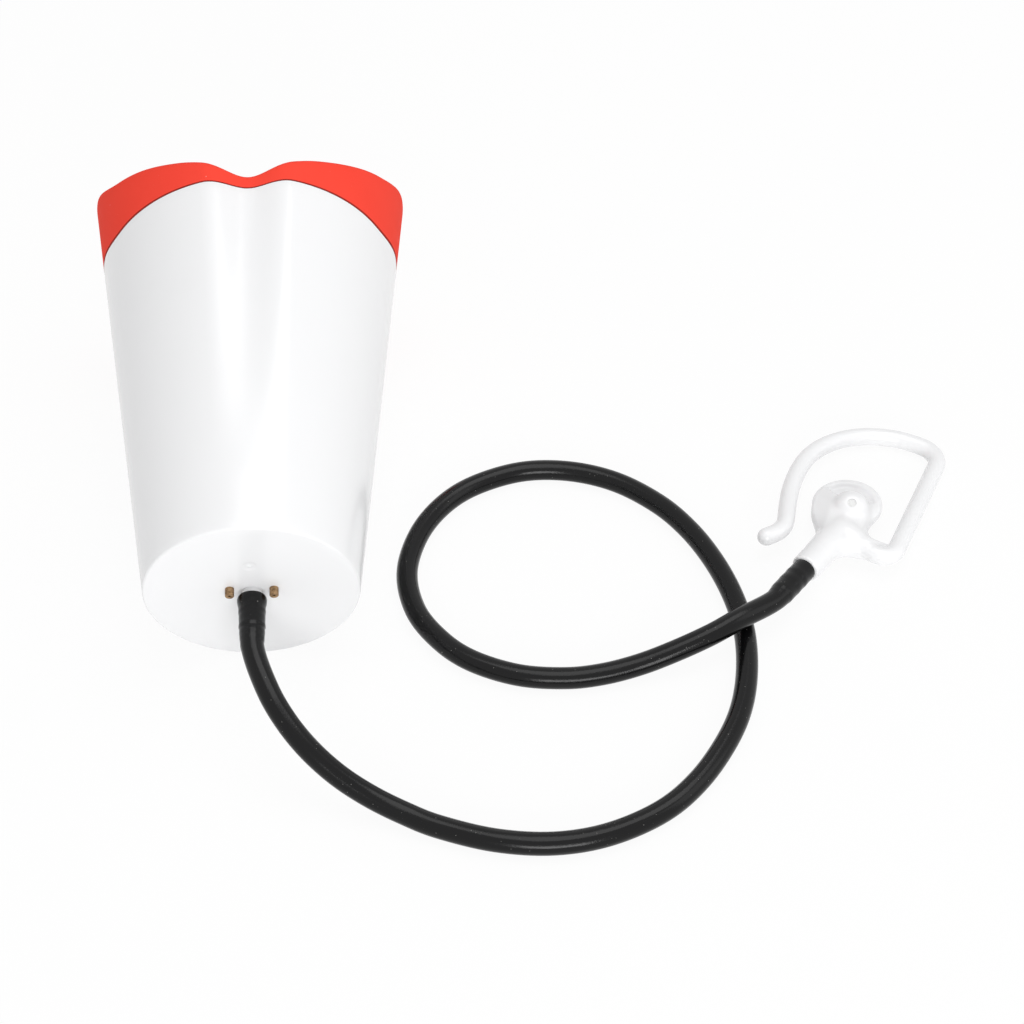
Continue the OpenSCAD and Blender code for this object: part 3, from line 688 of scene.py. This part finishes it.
bright_brass, tarnished_brass = (0.4, 0.26, 0.14, 1), (0.17, 0.1, 0.05, 1)
brass_finish = surface(
    "dull_brass", base_color=(0.3, 0.2, 0.1, 1), metallic=1.0, roughness=0.4
)
tarnish = brass_finish.cloud(brass_finish.place(), 0.0012, 4)
turning = brass_finish.cloud(brass_finish.place((1, 12, 1)), 0.0006, 2)
dulled = brass_finish.rise(tarnish, 0.35, 0.7)
brass_finish.feed("Base Color", brass_finish.blend(dulled, bright_brass, tarnished_brass))
brass_finish.feed("Roughness", 0.3 + tarnish * 0.25)
brass_finish.relief(turning * 0.6 + tarnish * 0.4, 0.00004)
vent_outline = rounded([
    (vent_bore, -vent_out, 0.12), (vent_radius, -vent_out, 0.22), (vent_radius, flange_top, 0),
    (swage_radius, flange_top, 0.1), (swage_radius, swage_top, 0.2), (vent_bore, swage_top, 0.1),
])
for name, side in (("vent_tube_left", 1), ("vent_tube_right", -1)):
    vent_bm = spun(vent_outline, 40)
    bmesh.ops.translate(vent_bm, vec=(side * vent_aside, vent_up, 0), verts=vent_bm.verts)
    vent = finished_piece(name + "_brass", vent_bm, brass_finish, CUP, 35)
    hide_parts(name)

# ---- Inserts ----
# Behind the mouth: a plain sleeve, a drilled grille, two foam plugs with a ported plate
# between them, and a spoked ring on four stops. A horn stands on the spigot's flange. All but
# the foam are satin white mouldings.
insert_inset = 2.7
insert_gap = 0.3
sleeve_thick = 1.4
plate_edge = 0.4
grille_low, grille_high = 88, 90.4
grille_hole, grille_pitch, grille_margin = 2.5, 8, 4
baffle_low, baffle_high = 58, 60.4
port_count, port_radius, port_margin = 12, 4.5, 3.5
spider_top = 31.4
horn_throat, horn_flare, horn_wall = 5, 12, 1.6
horn_from, horn_long, horn_steps = 10, 11, 10

satin_finish = surface("satin_plastic", base_color=(0.82, 0.82, 0.81, 1), roughness=0.42)
satin_grain = satin_finish.cloud(satin_finish.place(), 0.0007, 3)
satin_wash = satin_finish.cloud(satin_finish.place(), 0.02, 3)
satin_finish.feed("Roughness", 0.36 + satin_grain * 0.1 + satin_wash * 0.08)
satin_finish.relief(satin_grain * 0.4 + satin_wash * 0.5, 0.00012)

insert_out = spin_radius - insert_inset
sleeve_in = insert_out - sleeve_thick
sleeve_low = grille_high + insert_gap
sleeve_outline = rounded([
    (insert_out, sleeve_low, 0.3), (insert_out, ledge, 0.3),
    (sleeve_in, ledge, 0.3), (sleeve_in, sleeve_low, 0.3),
], 3)
sleeve_bm = spun(spaced(sleeve_outline, 4), 240)
on_cone(sleeve_bm)
sleeve = finished_piece("chamber_sleeve", sleeve_bm, satin_finish, CUP)
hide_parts("chamber_liner")


def plate(low, high):
    """A plate across the cup, with its outline on the cone at its back face."""
    radius = cone_radius(low) - insert_inset
    edge = plate_edge
    outline = rounded([(0, low, 0), (radius, low, edge), (radius, high, edge), (0, high, 0)], 2)
    bm = spun(outline, 240, closed=False)
    for v in bm.verts:
        r = math.hypot(v.co.x, v.co.y)
        angle = math.atan2(v.co.x, v.co.y)
        dip = groove_depth(low) * wave(angle, groove_half) * r / radius
        v.co.x -= dip * math.sin(angle)
        v.co.y -= dip * math.cos(angle)
    bmesh.ops.recalc_face_normals(bm, faces=bm.faces)
    return bm


def blank_of(name, bm):
    """A bare object that carries a bmesh while modifiers work on it."""
    mesh = bpy.data.meshes.new(name)
    bm.to_mesh(mesh)
    bm.free()
    blank = bpy.data.objects.new(name, mesh)
    bpy.context.scene.collection.objects.link(blank)
    return blank


def worked(blank, *tools):
    """What a blank's modifiers leave of it, as a bmesh. The blank and the tools go away."""
    bpy.context.view_layer.update()
    result = bmesh.new()
    result.from_object(blank, bpy.context.evaluated_depsgraph_get())
    for item in (blank, *tools):
        bpy.data.objects.remove(item)
    return result


def bored(name, bm, holes, sides):
    """Bores round holes: each is a radius, a depth and the placing of its middle."""
    pins = bmesh.new()
    for radius, depth, middle in holes:
        bmesh.ops.create_cone(
            pins, cap_ends=True, segments=sides, radius1=radius, radius2=radius, depth=depth,
            matrix=middle,
        )
    blank, cutter = blank_of(name + "_blank", bm), blank_of(name + "_pins", pins)
    cut = blank.modifiers.new("bore", "BOOLEAN")
    cut.object = cutter
    cut.solver = "EXACT"
    return worked(blank, cutter)


def drilled_plate(name, low, high, places, radius):
    """A satin plate with one round hole at each place."""
    through = high - low + 4
    holes = [(radius, through, Matrix.Translation((x, y, (low + high) / 2))) for x, y in places]
    bm = bored(name, plate(low, high), holes, 24)
    bmesh.ops.remove_doubles(bm, verts=bm.verts, dist=0.0005)
    return finished_piece(name, bm, satin_finish, CUP, 30)


def hole_reach(low, margin, radius):
    """How far out a hole's middle may lie, with that margin to the plate's outline."""
    return cone_radius(low) - insert_inset - groove_depth(low) - margin - radius


rows = range(-6, 7)
grille_places = [
    ((i + (0.5 if j % 2 else 0)) * grille_pitch, j * grille_pitch * math.sqrt(3) / 2)
    for j in rows
    for i in rows
]
grille_reach = hole_reach(grille_low, grille_margin, grille_hole)
grille_places = [p for p in grille_places if math.hypot(*p) < grille_reach]
grille = drilled_plate("lip_grille", grille_low, grille_high, grille_places, grille_hole)
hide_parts("front_grille")

port_ring = hole_reach(baffle_low, port_margin, port_radius)
ports = arc(0, 0, port_ring, [(k + 0.5) * 360 / port_count for k in range(port_count)])
baffle = drilled_plate("ported_baffle", baffle_low, baffle_high, ports, port_radius)
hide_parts("baffle_plate")

foam_dark, foam_pale = (0.022, 0.022, 0.025, 1), (0.11, 0.11, 0.12, 1)
foam_finish = surface("open_cell_foam", base_color=(0.05, 0.05, 0.055, 1), roughness=0.95)
foam_cells = foam_finish.cells(foam_finish.place(), 0.0009)
foam_finish.feed("Base Color", foam_finish.blend(foam_cells, foam_dark, foam_pale))
foam_finish.relief(foam_cells, 0.0006)
for name, node, below, above in (
    ("front_foam_plug", "foam_front", baffle_high, grille_low),
    ("rear_foam_plug", "foam_rear", spider_top, baffle_low),
):
    low, high = below + insert_gap, above - insert_gap
    plug_outline = rounded([
        shell_point(0, low, 0), (insert_out, low, 1), (insert_out, high, 1),
        shell_point(0, high, 0),
    ], 3)
    plug_bm = spun(plug_outline, 160, closed=False)
    on_cone(plug_bm)
    bmesh.ops.remove_doubles(plug_bm, verts=plug_bm.verts, dist=0.01)
    plug = finished_piece(name, plug_bm, foam_finish, CUP)
    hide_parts(node)

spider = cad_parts["foam_spider"]
spider.data.materials.clear()
spider.data.materials.append(satin_finish.owner)

shares = [k / horn_steps for k in range(horn_steps + 1)]
flare = [(horn_throat + horn_flare * s**2, horn_from + horn_long * s) for s in shares]
horn_outline = rounded([
    (horn_throat, flange_top, 0), *[(r, z, 0) for r, z in flare],
    *[(r - horn_wall, z, 0) for r, z in flare[::-1]], (horn_throat - horn_wall, flange_top, 0),
])
horn = finished_piece("sound_horn", spun(horn_outline, 96), satin_finish, CUP, 40)
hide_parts("pickup_horn")

# ---- Ear hook ----
# One white moulding: a barbed stem inside the hose, a collar that swells into the hub, a round
# disc with a bead, a domed nozzle with a sound hole, and a round rod bent to go over the ear.
HOOK = Matrix.Translation(hook_place * MM) @ hook_pose
rod = 3.0
rod_start, rod_heading = Vector((22.2, -5.1, 0)), math.radians(260.5)
# The rod's thick root is (distance, radius). Its run is (bend radius, degrees), where a minus
# radius turns right, or (0, length) for a straight, and shows from past the root
rod_root = [(-5, 5.2), (-2, 5.1), (0, 4.85), (2, 4.35), (4, 3.75), (6, 3.3), (7.4, 3.08)]
rod_run = [
    (0, 8.3), (5, 111.4), (0, 47.3), (8, 81.6), (30.5, 96), (70, 17), (0, 9), (-10, 50), (0, 2.8)
]
past_root = 3
stem_radius, stem_length = 2.7, 16
collar = [(4.8, 0, 0.5), (4.85, 7, 5), (5.3, 14, 8), (5.2, 22, 6), (4.2, 30, 2), (3, 33, 1)]
collar_end = 33.4
dome, dome_radius = Vector((32.9, 2, 2)), 6.4
disc, disc_radius, bead = Vector((36.8, 5.2, 0)), 11.75, 1.7
disc_foot, disc_floor, disc_top = -3, -0.2, 1
disc_tip = Matrix.Rotation(math.radians(-7), 4, (0.75, 0.66, 0))
# The web that fills the hub rises in steps from the foot's outline to the crown's
foot_plan = [
    (7, -4.4), (11.5, -4.6), (14.2, -5.6), (16.6, -8.4), (17.6, -10.5), (19.5, -13.4),
    (22.4, -16.4), (28, -16.6), (25.4, -11.6), (28.2, -7.2), (32.3, -6.2), (36.8, -5.8),
    (40.8, -4.6), (42.6, -2.2), (39.4, 4.6), (35.6, 10.6), (40.6, 15.2), (32.6, 16),
    (26, 12.8), (22.6, 10), (19.4, 7.2), (16.4, 5.3), (12.5, 4.5), (7, 4.4),
]
crown_plan = [
    (7, -3.2), (11.5, -3.2), (14.5, -3.4), (17.2, -5), (19.2, -7.6), (20.4, -10),
    (21.6, -11), (22.8, -10), (23.4, -8), (26, -5.6), (29.5, -4.6), (33, -4.6),
    (36.4, -3.2), (38, -0.6), (37.6, 3.4), (35.6, 7), (33.8, 8.6), (30.4, 8.2),
    (27.6, 7.2), (24.6, 6), (21, 4.8), (17, 3.8), (12.5, 3.2), (7, 3.2),
]
web_steps = 12
web_foot, web_low, web_rise = -2.7, 0.6, 3.2
hub_start, hub_end, past_dome = Vector((15, 0, 0)), 31, 5.4
away_from_stem = Vector((0.89, 0.456, 0))
nozzle = (
    Matrix.Translation(dome)
    @ Matrix.Rotation(math.radians(23), 4, "Z")
    @ Matrix.Rotation(math.radians(-28), 4, "Y")
)
brow_radius, brow_depth = 2.9, 0.35


def walk(place, heading, run):
    """Points along a run of straights and bends, and the heading at its end."""
    points = []
    for radius, amount in run:
        count = 4 if radius == 0 else math.ceil(amount / 4)
        begin, faced = place, heading
        for k in range(1, count + 1):
            part = amount * k / count
            if radius == 0:
                place = begin + part * Vector((math.cos(faced), math.sin(faced), 0))
            else:
                heading = faced + math.copysign(math.radians(part), radius)
                place = begin + radius * Vector((
                    math.sin(heading) - math.sin(faced), math.cos(faced) - math.cos(heading), 0
                ))
            points.append(place)
    return points, heading


def add_part(target, part, matrix):
    """Joins another solid to the moulding."""
    bmesh.ops.transform(part, matrix=matrix, verts=part.verts)
    bmesh.ops.recalc_face_normals(part, faces=part.faces)
    mesh = bpy.data.meshes.new("part")
    part.to_mesh(mesh)
    part.free()
    target.from_mesh(mesh)
    bpy.data.meshes.remove(mesh)


def eased(points, rounds):
    """Cuts the corners of a closed outline, round after round."""
    for _ in range(rounds):
        pairs = list(zip(points, points[1:] + points[:1]))
        points = [a.lerp(b, t) for a, b in pairs for t in (0.25, 0.75)]
    return points


def web_step(outline, low, high):
    """One step of the web: its outline, raised."""
    step = bmesh.new()
    face = step.faces.new([step.verts.new((x, y, low)) for x, y in outline])
    raised = bmesh.ops.extrude_face_region(step, geom=[face])["geom"]
    tops = [v for v in raised if isinstance(v, bmesh.types.BMVert)]
    bmesh.ops.translate(step, vec=(0, 0, high - low), verts=tops)
    return step


def fused(name, bm, voxel, soften):
    """Melts overlapping solids into one skin, with the small fillets that a mould gives."""
    blank = blank_of(name, bm)
    melt = blank.modifiers.new("melt", "REMESH")
    melt.mode = "VOXEL"
    melt.voxel_size = voxel
    ease = blank.modifiers.new("ease", "SMOOTH")
    ease.factor = 0.5
    ease.iterations = soften
    return worked(blank)


def hub_distance(place):
    """How far a place lies from the line through the hub's middle."""
    line = dome - hub_start
    share = max(0.0, min(1.0, (place - hub_start).dot(line) / line.length_squared))
    return (place - hub_start.lerp(dome, share)).length


def in_hub(place, near):
    """Whether a place lies that near to the hub's line, and not on the dome's far side."""
    before_dome = place.x < hub_end or (place - dome).dot(away_from_stem) < past_dome
    return before_dome and hub_distance(place) < near


hook_bm = bmesh.new()
outward = Vector((math.cos(rod_heading), math.sin(rod_heading), 0))
rod_line = [rod_start + outward * d for d, r in rod_root]
run_points, last = walk(rod_start, rod_heading, rod_run)
rod_line += run_points[past_root:]
rod_radii = [r for d, r in rod_root] + [rod] * (len(rod_line) - len(rod_root))
ahead = Vector((math.cos(last), math.sin(last), 0))
for angle in (15, 30, 45, 60, 75, 86):
    rod_line.append(run_points[-1] + ahead * rod * math.sin(math.radians(angle)))
    rod_radii.append(rod * math.cos(math.radians(angle)))
for ring in pull_section(hook_bm, rod_line, rod_radii, 32):
    bmesh.ops.contextual_create(hook_bm, geom=list(ring))

stem_outline = rounded([
    (0, -stem_length, 0), *barbed(stem_radius, stem_length)[1:], (stem_radius, 0, 0), *collar,
    (0, collar_end, 0),
])
add_part(hook_bm, spun(stem_outline, 64, closed=False), Matrix.Rotation(math.pi / 2, 4, "Y"))
ball = bmesh.new()
bmesh.ops.create_uvsphere(ball, u_segments=48, v_segments=24, radius=dome_radius)
add_part(hook_bm, ball, Matrix.Translation(dome))
bead_at = disc_radius - bead
disc_outline = [
    (0, disc_foot), (bead_at, disc_foot),
    *arc(bead_at, disc_foot + bead, bead, range(-75, 1, 15)),
    *arc(bead_at, disc_top - bead, bead, range(0, 151, 15)),
    (disc_radius - 2 * bead - 0.3, disc_floor), (0, disc_floor),
]
add_part(hook_bm, spun(disc_outline, 96, closed=False), Matrix.Translation(disc) @ disc_tip)
for step in range(web_steps + 1):
    share = step / web_steps
    plan = [Vector(a).lerp(Vector(b), share) for a, b in zip(foot_plan, crown_plan)]
    risen = web_step(eased(plan, 2), web_foot, web_low + web_rise * share)
    add_part(hook_bm, risen, Matrix())
bmesh.ops.recalc_face_normals(hook_bm, faces=hook_bm.faces)

hook_bm = fused("hook_melt", hook_bm, voxel=0.34, soften=5)
for near, times in ((14.5, 8), (10, 12), (8, 24)):
    hub = [v for v in hook_bm.verts if in_hub(v.co, near)]
    for _ in range(times):
        bmesh.ops.smooth_vert(
            hook_bm, verts=hub, factor=0.5, use_axis_x=True, use_axis_y=True, use_axis_z=True
        )
for v in hook_bm.verts:
    facing = nozzle.inverted() @ v.co
    off = math.hypot(facing.x, facing.y)
    if facing.z > 0 and off < brow_radius:
        sunk = brow_depth * (1 - (off / brow_radius) ** 2) ** 2
        v.co += nozzle.to_3x3() @ Vector((0, 0, -sunk))
sound_hole = (sound_bore, 8, nozzle @ Matrix.Translation((0, 0, 4)))
hook_bm = bored("hook", hook_bm, [sound_hole], 40)
hook = finished_piece("ear_hook_moulding", hook_bm, white_finish, HOOK, 60, "hook")
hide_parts("ear_hook")

# ---- Sound screen ----
# A disc of fine pale woven mesh, cut to the bore and pressed a little way down the nozzle's
# hole, where it keeps dust out of the hose.
screen_low, screen_high = 5, 5.6
screen_radius = 1.49
thread_white, thread_grey = (0.87, 0.87, 0.86, 1), (0.74, 0.74, 0.74, 1)
screen_finish = surface("woven_screen", base_color=(0.86, 0.86, 0.85, 1), roughness=0.6)
weave = screen_finish.cells(screen_finish.place(), 0.0003)
screen_finish.feed("Base Color", screen_finish.blend(weave, thread_white, thread_grey))
screen_finish.relief(weave, 0.0001)
screen_outline = rounded([
    (0, screen_low, 0), (screen_radius, screen_low, 0.1), (screen_radius, screen_high, 0.1),
    (0, screen_high, 0),
], 2)
screen_bm = spun(screen_outline, 40, closed=False)
bmesh.ops.transform(screen_bm, matrix=nozzle, verts=screen_bm.verts)
screen = finished_piece("nozzle_screen", screen_bm, screen_finish, HOOK, 40, "hook")
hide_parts("sound_screen")
